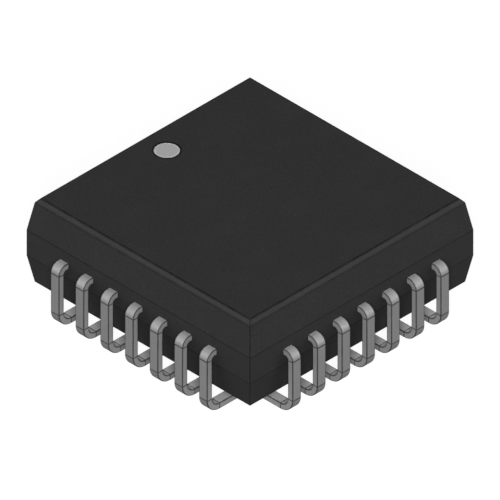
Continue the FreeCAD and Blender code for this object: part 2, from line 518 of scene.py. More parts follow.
@dataclass(frozen=True)
class MouldCompound:
    """Black epoxy full of fine filler, with the even tooth of a spark-eroded mould."""

    colour: Colour = (0.0232, 0.0232, 0.0232)
    filler: Colour = (0.070, 0.070, 0.070)
    # The colour of the joint lines, and of the painted shade on the lower half and round the dot.
    line: Colour = (0.0030, 0.0030, 0.0030)
    line_width: float = 0.045
    bevel_line_width: float = 0.062
    faint: float = 0.60
    lower_shade: float = 0.14
    # Painted shade: the dark ring round the dot.
    ring_width: float = 0.090
    ring: float = 0.95
    roughness: float = 0.62
    specular: float = 0.12
    grain_cells: float = 13.0
    grain_depth: float = 0.0050
    grain_roughness: float = 0.12
    fleck_cells: float = 24.0
    fleck_range: Span = (0.62, 0.74)
    flecks: float = 0.50
    mottle_cells: float = 0.7
    mottle: float = 0.20
    mottle_roughness: float = 0.06
    # Painted highlight on the bevel round the top face.
    rub_cells: float = 1.8
    rub_range: Span = (0.2, 0.5)
    least_rub: float = 0.7
    rub: float = 0.18
    wear_cells: float = 2.5
    wear_range: Span = (0.3, 0.7)
    least_wear: float = 0.55

    def material(self, rims: Spans, dot_place: float, dot_radius: float) -> bpy.types.Material:
        """Builds the material.

        Args:
            rims: Half width and height of each edge that runs round the moulding, from the bottom up.
            dot_place: The y of the dot's middle.
            dot_radius: The dot's radius.

        Returns:
            The material.
        """
        graph = ShaderGraph("mould_compound")
        place = graph.millimetres()
        bevel_foot = rims[-2][1]
        lines_and_shade = self._lines(graph, place, rims)
        # Painted shade: a dark ring round the dot joins the lines.
        lines_and_shade = lines_and_shade.max(self._ring(graph, place, bevel_foot, dot_place, dot_radius))
        mottle = graph.noise(place, self.mottle_cells, 4.0)
        grain = graph.noise(place, self.grain_cells, 3.0, 0.6)
        flecks = graph.ramp(graph.noise(place, self.fleck_cells, 1.0), *self.fleck_range)
        # Painted highlight: the bevel lighter in patches, added to the flecks and mottle.
        rub = self._rub(graph, place, bevel_foot, rims[-1][0])
        lighter = flecks * self.flecks + mottle.swing(self.mottle) + rub * self.rub
        tone = graph.mix(lighter, self.colour, self.filler)
        roughness = self.roughness + mottle.swing(self.mottle_roughness) + grain.swing(self.grain_roughness)
        return graph.principled({
            "Base Color": graph.mix(lines_and_shade, tone, self.line),
            "Roughness": roughness,
            "Specular IOR Level": self.specular,
            "Normal": graph.bump(grain, self.grain_depth),
        })

    def _ring(
        self, graph: ShaderGraph, place: Signal, bevel_foot: float, middle: float, radius: float
    ) -> Signal:
        """Painted shade: a dark ring round the dot, where the dimple's rim would lie in shadow.

        Args:
            graph: The material's tree.
            place: The place on the moulding.
            bevel_foot: The height above which the ring shows.
            middle: The y of the dot's middle.
            radius: The dot's radius.

        Returns:
            The strength of the painted shade.
        """
        outside = radius + self.ring_width
        from_dot = graph.from_axis(place, middle)
        ring = graph.ramp(from_dot, outside, outside - self.ring_width / 2, 0.0, self.ring)
        return ring * (graph.split(place)[2] > bevel_foot)

    def _rub(self, graph: ShaderGraph, place: Signal, bevel_foot: float, top_half: float) -> Signal:
        """Painted highlight: the bevel round the top face a little lighter, in patches.

        Args:
            graph: The material's tree.
            place: The place on the moulding.
            bevel_foot: Height of the bevel's lower edge.
            top_half: Half width of the top face.

        Returns:
            The strength of the painted highlight.
        """
        x, y, z = graph.split(place)
        above = graph.ramp(z, bevel_foot - self.line_width / 2, bevel_foot)
        outside = graph.ramp(abs(x).max(abs(y)), top_half, top_half + self.line_width / 2)
        spread = graph.noise(place, self.rub_cells, 3.0)
        return above * outside * graph.ramp(spread, *self.rub_range, self.least_rub, 1.0)

    def _lines(self, graph: ShaderGraph, place: Signal, rims: Spans) -> Signal:
        """The dull lines that the mould's joints leave along the edges, and painted shade on the lower half.

        Args:
            graph: The material's tree.
            place: The place on the moulding.
            rims: Half width and height of each edge, from the bottom up.

        Returns:
            The strength of the lines and of the painted shade.
        """
        x, y, z = graph.split(place)
        reach = abs(x).max(abs(y))
        corner = abs(abs(x) - abs(y))
        low, high = rims[0][1], rims[-1][1]
        on_side = (z > low + self.line_width / 2) * (z < high - self.line_width / 2)
        lines_and_shade = graph.ramp(corner, self.line_width, self.line_width / 4) * on_side
        last = len(rims) - 1
        for number, (half, height) in enumerate(rims):
            width = self.bevel_line_width if number >= last - 1 else self.line_width
            strength = 1.0 if number == last else self.faint
            gap = abs(z - height).max(half - reach)
            lines_and_shade = lines_and_shade.max(graph.ramp(gap, width, width / 4, 0.0, strength))
        wear = graph.noise(place, self.wear_cells, 3.0)
        lines_and_shade = lines_and_shade * graph.ramp(wear, *self.wear_range, self.least_wear, 1.0)
        band_bottom = rims[1][1]
        # Painted shade: the sides darker below the band, where they turn down from the light.
        return lines_and_shade.max(graph.ramp(z, band_bottom, band_bottom - self.line_width, 0.0, self.lower_shade))


@dataclass(frozen=True)
class DotInk:
    """Pale grey marking ink, dried thickest along its rim."""

    colour: Colour = (0.400, 0.400, 0.400)
    thick: Colour = (0.520, 0.520, 0.520)
    thin: Colour = (0.280, 0.280, 0.280)
    roughness: float = 0.55
    rim_width: float = 0.100
    cloud_cells: float = 5.0
    cloud: float = 0.30
    cloud_roughness: float = 0.15
    cloud_depth: float = 0.004
    pore_cells: float = 26.0
    pore_range: Span = (0.60, 0.74)
    pores: float = 0.5
    pore_depth: float = 0.4

    def material(self, middle: float, radius: float) -> bpy.types.Material:
        """Builds the material.

        Args:
            middle: The y of the dot's middle.
            radius: The dot's radius.

        Returns:
            The material.
        """
        graph = ShaderGraph("dot_ink")
        place = graph.millimetres()
        inside = radius - self.rim_width
        rim = graph.ramp(graph.from_axis(place, middle), inside, radius - self.rim_width / 2)
        ink = graph.mix(rim, self.colour, self.thick)
        cloud = graph.noise(place, self.cloud_cells, 3.0)
        pores = graph.ramp(graph.noise(place, self.pore_cells, 2.0), *self.pore_range)
        return graph.principled({
            "Base Color": graph.mix(pores * self.pores + cloud.swing(self.cloud), ink, self.thin),
            "Roughness": self.roughness + cloud.swing(self.cloud_roughness),
            "Normal": graph.bump(cloud - pores * self.pore_depth, self.cloud_depth),
        })


@dataclass(frozen=True)
class LeadPlating:
    """Dull tin plating with streaks and tarnish at edges and bends; painted highlight on the shoulder,
    painted shade on the heel, painted light on the inner face and sheared sides.
    """

    colour: Colour = (0.265, 0.265, 0.265)
    # Painted highlight on the shoulder bend.
    burnished: Colour = (0.445, 0.445, 0.445)
    # Painted light: the inner face lightened where the moulding above shades it.
    inner: Colour = (0.640, 0.640, 0.640)
    # The sheared sides: partly their own lighter cut, partly painted light where neighbouring leads shade
    # them.
    sheared: Colour = (0.375, 0.375, 0.375)
    # The colour of the tarnish, and of the painted shade on the heel.
    dark: Colour = (0.030, 0.030, 0.030)
    copper: Colour = (0.360, 0.190, 0.110)
    metallic: float = 0.40
    roughness: float = 0.50
    mark_width: float = 0.036
    # How far the painted shade darkens the heel.
    scuff: float = 0.38
    cut_fringe: float = 0.010
    side_fringe: float = 0.004
    tarnish: float = 0.90
    tarnish_roughness: float = 0.10
    cloud_cells: float = 1.6
    cloud: float = 0.20
    streak_cells: Span = (0.8, 24.0)
    streaks: float = 0.30
    streak_roughness: float = 0.15
    streak_depth: float = 0.7
    grain_cells: float = 16.0
    grain: float = 0.40
    grain_roughness: float = 0.20
    grain_depth: float = 0.0014

    def material(self, bends: Spans, length: float, width: float) -> bpy.types.Material:
        """Builds the material.

        Args:
            bends: Where each bend starts and ends along the strip, in millimetres.
            length: The strip's length.
            width: The strip's width.

        Returns:
            The material.
        """
        graph = ShaderGraph("lead_plating")
        strip = graph.signal("ShaderNodeAttribute", {"attribute_name": "strip"}, None, "Vector")
        along, across, depth = graph.split(strip)
        edge = graph.signal("ShaderNodeAttribute", {"attribute_name": "edge"}, None, "Fac")
        place = graph.millimetres()
        cloud = graph.noise(place, self.cloud_cells, 3.0)
        grain = graph.noise(place, self.grain_cells, 2.0, 0.6)
        long_way, short_way = self.streak_cells
        stretched = graph.vector(along * long_way, across * short_way, depth * short_way)
        streaks = graph.noise(stretched, 1.0, 2.0)
        tarnish = graph.ramp(edge + self._marks(graph, along, bends), 0.0, 1.0, 0.0, self.tarnish)
        tone = streaks.swing(self.streaks) + cloud.swing(self.cloud) + grain.swing(self.grain)
        # The sheared sides get a lighter colour: partly their bare cut, partly painted light.
        side = graph.ramp(abs(across), width / 2 - self.side_fringe, width / 2)
        # Painted highlight: the shoulder bend lighter from its start.
        shoulder_highlight_mask = graph.ramp(along, bends[0][1], bends[0][0])
        heel_start, heel_end = bends[1]
        # Painted shade: the heel bend darker towards its middle.
        heel_shade = graph.ramp(along, heel_start, (heel_start + heel_end) / 2, 0.0, self.scuff)
        outer = graph.mix(heel_shade, graph.mix(shoulder_highlight_mask, self.colour, self.burnished), self.dark)
        # Painted light: the inner face much lighter, where the moulding shades it.
        metal = graph.mix(side, graph.mix(depth > 0.0, outer, self.inner), self.sheared)
        plated = graph.mix(graph.ramp(tarnish + tone, 0.0, 1.0), metal, self.dark)
        cut = graph.ramp(along, length - self.cut_fringe, length - self.cut_fringe / 2)
        roughness = self.roughness + streaks.swing(self.streak_roughness)
        roughness = roughness + tarnish * self.tarnish_roughness + grain.swing(self.grain_roughness)
        return graph.principled({
            "Base Color": graph.mix(cut, plated, self.copper),
            "Metallic": self.metallic,
            "Roughness": roughness,
            "Normal": graph.bump(grain + streaks * self.streak_depth, self.grain_depth),
        })

    def _marks(self, graph: ShaderGraph, along: Signal, bends: Spans) -> Signal:
        """The dark lines where the forming tool gripped the strip, but for the one beside the moulding.

        Args:
            graph: The material's tree.
            along: The place along the strip.
            bends: Where each bend starts and ends.

        Returns:
            The strength of the lines.
        """
        ends = [end for bend in bends for end in bend][1:]
        marks = 0.0
        for end in ends:
            marks = marks + graph.ramp(abs(along - end), self.mark_width, self.mark_width / 3)
        return marks


@dataclass(frozen=True)
class InnerMetal:
    """Metal inside the moulding: rolled, with soft stains."""

    name: str
    colour: Colour
    stain: Colour
    roughness: float
    rolling: tuple[float, float, float] = (1.0, 14.0, 14.0)
    rolled_cells: float = 1.5
    rolled: float = 0.2
    rolled_depth: float = 0.001
    stain_cells: float = 0.9
    stain_range: Span = (0.45, 0.75)
    stains: float = 0.5

    def material(self) -> bpy.types.Material:
        """Builds the material.

        Returns:
            The material.
        """
        graph = ShaderGraph(self.name)
        rolled = graph.noise(graph.millimetres(self.rolling), self.rolled_cells, 3.0)
        stain = graph.ramp(graph.noise(graph.millimetres(), self.stain_cells, 4.0), *self.stain_range)
        tone = stain * self.stains + rolled.swing(self.rolled)
        return graph.principled({
            "Base Color": graph.mix(tone, self.colour, self.stain),
            "Metallic": 1.0,
            "Roughness": self.roughness + rolled.swing(self.rolled),
            "Normal": graph.bump(rolled, self.rolled_depth),
        })


@dataclass(frozen=True)
class SilverEpoxy:
    """Grey die glue full of silver flakes."""

    colour: Colour = (0.30, 0.29, 0.27)
    flake: Colour = (0.75, 0.74, 0.72)
    flake_cells: float = 30.0
    flake_range: Span = (0.50, 0.65)
    flake_metallic: float = 0.8
    flake_depth: float = 0.003
    roughness: float = 0.6
    smoothing: float = 0.25

    def material(self) -> bpy.types.Material:
        """Builds the material.

        Returns:
            The material.
        """
        graph = ShaderGraph("silver_epoxy")
        flakes = graph.noise(graph.millimetres(), self.flake_cells, 2.0)
        shine = graph.ramp(flakes, *self.flake_range)
        return graph.principled({
            "Base Color": graph.mix(shine, self.colour, self.flake),
            "Metallic": shine * self.flake_metallic,
            "Roughness": self.roughness - shine * self.smoothing,
            "Normal": graph.bump(flakes, self.flake_depth),
        })


@dataclass(frozen=True)
class PatternedSilicon:
    """Polished silicon with blocks of circuit on its top and a row of bond pads near each edge."""

    silicon: Colour = (0.060, 0.062, 0.075)
    circuit: Colour = (0.130, 0.150, 0.160)
    pad: Colour = (0.80, 0.80, 0.78)
    pad_side: float = 0.10
    pad_metallic: float = 0.9
    metallic: float = 0.1
    skin: float = 0.005
    block_cells: float = 2.6
    block: float = 0.6
    track_cells: Span = (30.0, 6.0)
    track: float = 0.5
    art_range: Span = (0.2, 0.9)
    roughness: float = 0.18
    art_roughness: float = 0.2

    def material(self, top: float, pad_line: float, pad_pitch: float, pads: int) -> bpy.types.Material:
        """Builds the material.

        Args:
            top: Height of the die's top face, in millimetres.
            pad_line: How far from the middle the rows of pads lie.
            pad_pitch: From one pad to the next.
            pads: How many pads a row has.

        Returns:
            The material.
        """
        graph = ShaderGraph("silicon")
        place = graph.millimetres()
        x, y, z = graph.split(place)
        on_top = z > top - self.skin
        values = {"Vector": graph.vector(x, y, 0.0), "Scale": self.block_cells}
        settings = {"distance": "CHEBYCHEV", "feature": "F1"}
        blocks = graph.split(graph.signal("ShaderNodeTexVoronoi", settings, values, "Color"))[0]
        across, along = self.track_cells
        tracks = graph.noise(graph.vector(x * across, y * along, 0.0), 1.0, 1.0)
        art = graph.ramp(blocks * self.block + tracks * self.track, *self.art_range) * on_top
        rows = self._rows(x, y, pad_line, pad_pitch, pads) + self._rows(y, x, pad_line, pad_pitch, pads)
        metal = graph.ramp(rows * on_top, 0.0, 1.0)
        return graph.principled({
            "Base Color": graph.mix(metal, graph.mix(art, self.silicon, self.circuit), self.pad),
            "Metallic": metal * self.pad_metallic + self.metallic,
            "Roughness": self.roughness + art * self.art_roughness,
        })

    def _rows(self, out: Signal, along: Signal, line: float, pitch: float, pads: int) -> Signal:
        """The mask of two facing rows of pads.

        Args:
            out: The place across the rows.
            along: The place along them.
            line: How far from the middle each row lies.
            pitch: From one pad to the next.
            pads: How many pads a row has.

        Returns:
            The mask.
        """
        half = self.pad_side / 2
        in_line = half > abs(abs(out) - line)
        slot = abs(along / pitch - (along / pitch).math("ROUND"))
        in_row = pitch * (pads - 1) / 2 + half > abs(along)
        return in_line * (half / pitch > slot) * in_row


@dataclass(frozen=True)
class Package:
    """Sizes of the package in millimetres: outer ones from the frame, the rest as it is drawn."""

    body_half: float
    underside: float
    top_face: float
    lead_outer: float
    finger_tip: float
    sheet_top: float
    dot_place: float
    dot_radius: float
    ink_bottom: float
    ink_top: float
    leads_per_side: int = 7
    pitch: float = 1.27
    lead_width: float = 0.43
    sheet: float = 0.254
    corner_gap: float = 0.294
    tip_tuck: float = 0.10

    @classmethod
    def from_frame(cls) -> "Package":
        """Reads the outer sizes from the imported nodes.

        Returns:
            The sizes.
        """
        body_low, body_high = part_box("moulded_body")
        lead_low, lead_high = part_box("lead_01")
        dot_low, dot_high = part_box("pin_1_dot")
        return cls(
            body_half=body_high.x / MM,
            underside=body_low.z / MM,
            top_face=body_high.z / MM,
            lead_outer=lead_high.y / MM,
            finger_tip=lead_low.y / MM,
            sheet_top=lead_high.z / MM,
            dot_place=(dot_low.y + dot_high.y) / 2 / MM,
            dot_radius=(dot_high.y - dot_low.y) / 2 / MM,
            ink_bottom=dot_low.z / MM,
            ink_top=dot_high.z / MM,
        )

    @property
    def sheet_plane(self) -> float:
        """Height of the middle of the lead sheet, which is the mould's parting plane."""
        return self.sheet_top - self.sheet / 2

    @property
    def row_half(self) -> float:
        """From the middle of a side to its last lead."""
        return self.pitch * (self.leads_per_side - 1) / 2

    @property
    def lead_tip(self) -> float:
        """From the middle of the package to the innermost face of a lead's tip."""
        return self.row_half + self.lead_width / 2 + self.corner_gap

    def place(self, slot: int, row_half: float) -> float:
        """How far a slot lies from the middle of a row of that half length."""
        return row_half * (2 * slot / (self.leads_per_side - 1) - 1)

    def pin(self, side_number: int, slot: int) -> int:
        """The pin in a slot of a side, counted from pin 1 in the middle of the first side."""
        count = self.leads_per_side * len(Side)
        return (side_number * self.leads_per_side + slot - self.leads_per_side // 2) % count + 1


@dataclass
class LeadRow:
    """The 28 formed leads, each one swept strip from its inner finger to its foot's tip."""

    package: Package
    finish: LeadPlating
    shoulder_inner: float = 0.127
    heel_inner: float = 0.381
    tip_inner: float = 0.127
    neck: float = 0.15
    anchor_taper: float = 0.10
    anchor_length: float = 0.50
    anchor_gap: float = 0.53
    root_width: float = 0.34
    tip_width: float = 0.30
    tip_length: float = 0.40
    finger_row_half: float = 2.188
    edge_radius: float = 0.025
    edge_support: float = 0.020
    bend_steps: int = 12
    edge_steps: int = 2
    sharp_angle: float = 50.0

    def sizes(self) -> dict[str, float]:
        """The tree's named inputs.

        Returns:
            Their values, in millimetres or degrees.
        """
        package = self.package
        neck_end = package.body_half - self.neck
        anchor_start = neck_end - self.anchor_taper
        anchor_end = anchor_start - self.anchor_length
        return {
            "Sheet Thickness": package.sheet,
            "Lead Width": package.lead_width,
            "Sheet Plane": package.sheet_plane,
            "Outer Middle": package.lead_outer - package.sheet / 2,
            "Tip Middle": package.lead_tip + package.sheet / 2,
            "Tip End": package.underside + package.tip_tuck,
            "Body Face": package.body_half,
            "Neck End": neck_end,
            "Anchor Start": anchor_start,
            "Anchor End": anchor_end,
            "Root End": anchor_end - self.anchor_taper,
            "Tip Start": package.finger_tip + self.tip_length,
            "Finger Tip": package.finger_tip,
            "Anchor Width": package.pitch - self.anchor_gap,
            "Root Width": self.root_width,
            "Tip Width": self.tip_width,
            "Shoulder Radius": self.shoulder_inner + package.sheet / 2,
            "Heel Radius": self.heel_inner + package.sheet / 2,
            "Tip Radius": self.tip_inner + package.sheet / 2,
            "Edge Radius": self.edge_radius,
            "Edge Support": self.edge_support,
            "Row Place": 0.0,
            "Finger Place": 0.0,
            "Side Turn": 0.0,
        }

    def strip_bends(self) -> tuple[Spans, float]:
        """Measures along the strip.

        Returns:
            Where each bend starts and ends, and the strip's length.
        """
        sizes = self.sizes()
        radii = [sizes["Shoulder Radius"], sizes["Heel Radius"], sizes["Tip Radius"]]
        runs = [
            sizes["Outer Middle"] - sizes["Finger Tip"],
            sizes["Sheet Plane"] - sizes["Sheet Thickness"] / 2,
            sizes["Outer Middle"] - sizes["Tip Middle"],
            sizes["Tip End"] - sizes["Sheet Thickness"] / 2,
        ]
        bends = []
        along = 0.0
        for run, before, after in zip(runs, [0.0] + radii, radii + [0.0]):
            along += run - before - after
            if after:
                bends.append((along, along + after * math.pi / 2))
                along = bends[-1][1]
        return bends, along

    def tree(self, material: bpy.types.Material) -> GeometryGraph:
        """Builds the tree that sweeps one lead.

        Args:
            material: The finish that the lead gets.

        Returns:
            The tree.
        """
        graph = GeometryGraph("formed_lead", self.sizes())
        length = graph.signal("GeometryNodeSplineParameter", None, None, "Length")
        route, along = graph.capture(self._route(graph), "FLOAT", length)
        route = graph.signal("GeometryNodeSetCurveNormal", {"mode": "Z_UP"}, {"Curve": route})
        section, edge, spot = self._section(graph)
        values = {"Curve": route, "Profile Curve": section, "Fill Caps": True}
        strip = graph.signal("GeometryNodeCurveToMesh", None, values)
        depth, across, _ = graph.split(spot)
        strip = graph.store(strip, "strip", "FLOAT_VECTOR", graph.vector(along, across, depth))
        strip = graph.store(strip, "edge", "FLOAT", edge)
        strip = graph.move_points(strip, self._upright(graph))
        graph.finish(graph.turn(strip, graph.size("Side Turn")), material)
        return graph

    def _route(self, graph: GeometryGraph) -> Signal:
        """The middle line of the strip: x is the distance outward and y the height.

        Args:
            graph: The tree.

        Returns:
            The curve.
        """
        plane = graph.size("Sheet Plane")
        foot = graph.size("Sheet Thickness") * 0.5
        outer = graph.size("Outer Middle")
        inner = graph.size("Tip Middle")
        flat = ["Finger Tip", "Tip Start", "Root End", "Anchor End", "Anchor Start", "Neck End", "Body Face"]
        places = [graph.vector(graph.size(label), plane, 0.0) for label in flat]
        places += [
            graph.vector(outer, plane, 0.0),
            graph.vector(outer, foot, 0.0),
            graph.vector(inner, foot, 0.0),
            graph.vector(inner, graph.size("Tip End"), 0.0),
        ]
        bends = [graph.size(label) for label in ("Shoulder Radius", "Heel Radius", "Tip Radius")]
        radii = [0.0] * len(flat) + bends + [0.0]
        return graph.fillet(graph.polyline(places), radii, self.bend_steps)

    def _section(self, graph: GeometryGraph) -> tuple[Signal, Signal, Signal]:
        """The strip's section, with rounded edges.

        Args:
            graph: The tree.

        Returns:
            The closed curve, a field that is 1 on its rounded edges, and each point's place in it.
        """
        half_width = graph.size("Lead Width") * 0.5
        half_depth = graph.size("Sheet Thickness") * 0.5
        inset = graph.size("Edge Radius") + graph.size("Edge Support")
        places = []
        radii = []
        for right, up in ((1, 1), (-1, 1), (-1, -1), (1, -1)):
            corner = graph.vector(half_depth * right, half_width * up, 0.0)
            beside = graph.vector((half_depth - inset) * right, half_width * up, 0.0)
            below = graph.vector(half_depth * right, (half_width - inset) * up, 0.0)
            places += [below, corner, beside] if right == up else [beside, corner, below]
            radii += [0.0, graph.size("Edge Radius"), 0.0]
        outline = graph.polyline(places)
        rounded = graph.pick("FLOAT", [0.0, 1.0, 0.0] * 4)
        outline, edge = graph.capture(outline, "FLOAT", rounded)
        outline = graph.signal("GeometryNodeSetSplineCyclic", None, {"Geometry": outline, "Cyclic": True})
        outline = graph.fillet(outline, radii, self.edge_steps)
        outline, spot = graph.capture(outline, "VECTOR", graph.position())
        return outline, edge, spot

    def _upright(self, graph: GeometryGraph) -> Signal:
        """Stands the swept strip up, widens its anchor and slants its finger.

        Args:
            graph: The tree.

        Returns:
            The place of each point, on the side that faces +X.
        """
        out, height, across = graph.split(graph.position())
        inside = height > graph.size("Sheet Plane") - graph.size("Sheet Thickness")
        lead_width = graph.size("Lead Width")
        stations = [
            ("Tip Start", "Tip Width", "Root End", "Root Width"),
            ("Root End", "Root Width", "Anchor End", "Anchor Width"),
            ("Anchor Start", "Anchor Width", "Neck End", "Lead Width"),
        ]
        width = graph.size("Tip Width")
        for start, start_width, end, end_width in stations:
            gain = graph.size(end_width) - graph.size(start_width)
            width = width + graph.ramp(out, graph.size(start), graph.size(end)) * gain
        row_place = graph.size("Row Place")
        slant = graph.ramp(out, graph.size("Root End"), graph.size("Tip Start")) * inside
        middle = row_place + (graph.size("Finger Place") - row_place) * slant
        factor = 1.0 + (width / lead_width - 1.0) * inside
        return graph.vector(out, across * factor * -1.0 + middle, height)

    def build(self) -> list[bpy.types.Object]:
        """Builds every lead.

        Returns:
            The leads, in millimetres.
        """
        bends, length = self.strip_bends()
        graph = self.tree(self.finish.material(bends, length, self.package.lead_width))
        leads = []
        for number, side in enumerate(Side):
            for slot in range(self.package.leads_per_side):
                pin = self.package.pin(number, slot)
                lead = Workshop.blank(f"plated_lead_{pin:02d}")
                Workshop.grow(lead, graph, {
                    "Row Place": self.package.place(slot, self.package.row_half),
                    "Finger Place": self.package.place(slot, self.finger_row_half),
                    "Side Turn": side.value,
                })
                Workshop.sharpen(Workshop.settle(lead), self.sharp_angle)
                leads.append(lead)
        return leads


@dataclass
class Moulding:
    """The moulded body and the ink dot on it."""

    package: Package
    compound: MouldCompound
    ink: DotInk
    band_height: float = 1.13
    upper_draft: float = 9.7
    lower_draft: float = 10.1
    bevel_width: float = 0.16
    bevel_height: float = 0.19
    edge_radius: float = 0.020
    edge_steps: int = 3
    sharp_angle: float = 30.0
    flash_height: float = 0.030
    flash_reach: float = 0.004
    pocket_clearance: float = 0.09
    pocket_flare: float = 0.035
    dot_steps: int = 96
    dot_sharp_angle: float = 60.0
    ink_rim: float = 0.012
    ink_rim_drop: float = 0.1
    ink_dome: tuple[Span, ...] = ((0.90, 0.05), (0.5, 0.0))
    dimple_rim: float = 0.010
    dimple_rise: float = 0.05
    rounded_levels: tuple[int, ...] = (0, 1, 5, 6, 7)

    def levels(self) -> Spans:
        """The rings of corners, from the underside to the top face.

        Returns:
            Half width and height of each ring.
        """
        package = self.package
        plane = package.sheet_plane
        band_top = plane + self.band_height / 2
        band_bottom = plane - self.band_height / 2
        bevel_foot = package.top_face - self.bevel_height
        half = package.body_half - self.flash_reach
        bevel_half = half - (bevel_foot - band_top) * math.tan(math.radians(self.upper_draft))
        bottom_half = half - (band_bottom - package.underside) * math.tan(math.radians(self.lower_draft))
        return [
            (bottom_half, package.underside),
            (half, band_bottom),
            (half, plane - self.flash_height / 2),
            (package.body_half, plane),
            (half, plane + self.flash_height / 2),
            (half, band_top),
            (bevel_half, bevel_foot),
            (bevel_half - self.bevel_width, package.top_face),
        ]

    def block(self, material: bpy.types.Material) -> bpy.types.Object:
        """The outside of the moulding, with its edges rounded.

        Args:
            material: The compound.

        Returns:
            The closed block.
        """
        shape = bmesh.new()
        signs = ((1, 1), (-1, 1), (-1, -1), (1, -1))
        rings = []
        for half, height in self.levels():
            rings.append([shape.verts.new((half * x, half * y, height)) for x, y in signs])
        shape.faces.new(reversed(rings[0]))
        shape.faces.new(rings[-1])
        for lower, upper in zip(rings, rings[1:]):
            for first, second in ((0, 1), (1, 2), (2, 3), (3, 0)):
                shape.faces.new((lower[first], lower[second], upper[second], upper[first]))
        level_edges = []
        for number in self.rounded_levels:
            ring = rings[number]
            level_edges += [shape.edges.get((ring[i], ring[(i + 1) % 4])) for i in range(4)]
        corner_edges = [edge for edge in shape.edges if self._is_corner(edge)]
        bmesh.ops.bevel(
            shape, geom=level_edges + corner_edges, offset=self.edge_radius, offset_type="OFFSET",
            segments=self.edge_steps, profile=0.5, affect="EDGES", clamp_overlap=True,
        )
        bmesh.ops.recalc_face_normals(shape, faces=shape.faces)
        return Workshop.solid("epoxy_body", shape, material)

    @staticmethod
    def _is_corner(edge: bmesh.types.BMEdge) -> bool:
        """Whether an edge runs up one of the block's four corners."""
        low, high = edge.verts
        return abs(low.co.z - high.co.z) > NO_SIZE

    def pocket_tree(self, material: bpy.types.Material) -> GeometryGraph:
        """Builds the tree that repeats a side's tip pockets, each flared at its mouth.

        Args:
            material: What the walls of the pockets are made of.

        Returns:
            The tree.
        """
        package = self.package
        clearance = self.pocket_clearance
        graph = GeometryGraph("tip_pockets", {
            "Pitch": package.pitch,
            "Middle": package.lead_tip + package.sheet / 2,
            "Length": package.sheet + 2 * clearance,
            "Width": package.lead_width + 2 * clearance,
            "Depth": package.tip_tuck + clearance,
            "Flare": self.pocket_flare,
            "Underside": package.underside,
            "Side Turn": 0.0,
        })
        depth = graph.size("Depth")
        values = {"Vertices X": 2, "Vertices Y": 2, "Vertices Z": 3}
        values["Size"] = graph.vector(graph.size("Length"), graph.size("Width"), depth * 2.0)
        box = graph.signal("GeometryNodeMeshCube", None, values)
        x, y, z = graph.split(graph.position())
        flare = graph.size("Flare")
        mouth = 1.0 - (abs(z) > depth * 0.5)
        below = graph.ramp(z, depth * 0.5, depth * -0.5)
        spread_x = 1.0 + flare * 2.0 / graph.size("Length") * below
        spread_y = 1.0 + flare * 2.0 / graph.size("Width") * below
        box = graph.move_points(box, graph.vector(x * spread_x, y * spread_y, z + flare * mouth))
        row_start = graph.size("Pitch") * (-(package.leads_per_side - 1) / 2)
        values = {
            "Count": package.leads_per_side,
            "Start Location": graph.vector(graph.size("Middle"), row_start, graph.size("Underside")),
            "Offset": graph.vector(0.0, graph.size("Pitch"), 0.0),
        }
        points = graph.signal("GeometryNodeMeshLine", None, values)
        row = graph.signal("GeometryNodeInstanceOnPoints", None, {"Points": points, "Instance": box})
        graph.finish(graph.turn(row, graph.size("Side Turn")), material)
        return graph

    def pockets(self, material: bpy.types.Material) -> list[bpy.types.Object]:
        """The cutters of the four rows of tip pockets.

        Args:
            material: What the walls of the pockets are made of.

        Returns:
            The cutters, one for each side.
        """
        graph = self.pocket_tree(material)
        cutters = []
        for side in Side:
            cutter = Workshop.blank(f"pocket_cutter_{side.name.lower()}")
            Workshop.grow(cutter, graph, {"Side Turn": side.value})
            cutters.append(Workshop.settle(cutter))
        return cutters

    def lathe(
        self, name: str, outline: Spans, material: bpy.types.Material | None = None
    ) -> bpy.types.Object:
        """A round piece about the dot's axis.

        Args:
            name: The piece's name.
            outline: Radius and height of each point, from the axis at the bottom to the axis on top.
            material: The piece's material, if it has one.

        Returns:
            The closed piece.
        """
        shape = bmesh.new()
        turns = [2 * math.pi * step / self.dot_steps for step in range(self.dot_steps)]
        ends = (outline[0], outline[-1])
        poles = [shape.verts.new((0.0, self.package.dot_place, height)) for _, height in ends]
        rings = []
        for radius, height in outline[1:-1]:
            ring = []
            for turn in turns:
                x = radius * math.cos(turn)
                y = self.package.dot_place + radius * math.sin(turn)
                ring.append(shape.verts.new((x, y, height)))
            rings.append(ring)
        for step in range(self.dot_steps):
            following = (step + 1) % self.dot_steps
            shape.faces.new((poles[0], rings[0][following], rings[0][step]))
            shape.faces.new((poles[1], rings[-1][step], rings[-1][following]))
            for lower, upper in zip(rings, rings[1:]):
                shape.faces.new((lower[step], lower[following], upper[following], upper[step]))
        return Workshop.solid(name, shape, material)

    def dot(self) -> bpy.types.Object:
        """The ink disc, domed a little, with a rounded rim.

        Returns:
            The disc.
        """
        package = self.package
        radius, rim = package.dot_radius, self.ink_rim
        bottom, top = package.ink_bottom, package.ink_top
        arc = rim * RIM_ARC
        outline = [
            (0.0, bottom), (radius, bottom), (radius, top - rim),
            (radius - arc, top - arc), (radius - rim, top - rim * self.ink_rim_drop),
        ]
        outline += [(radius * reach, top - rim * drop) for reach, drop in self.ink_dome]
        disc = self.lathe("ink_dot", outline + [(0.0, top)], self.ink.material(package.dot_place, radius))
        Workshop.sharpen(disc, self.dot_sharp_angle)
        return disc

    def dimple(self) -> bpy.types.Object:
        """The cutter of the dot's dimple, with a softened rim.

        Returns:
            The cutter.
        """
        package = self.package
        radius, rim = package.dot_radius, self.dimple_rim
        bottom, top = package.ink_bottom, package.top_face
        above = top + self.dimple_rise
        arc = rim * RIM_ARC
        return self.lathe("dimple_cutter", [
            (0.0, bottom), (radius, bottom), (radius, top - rim), (radius + arc, top - arc),
            (radius + rim, top), (radius + rim, above), (0.0, above),
        ])

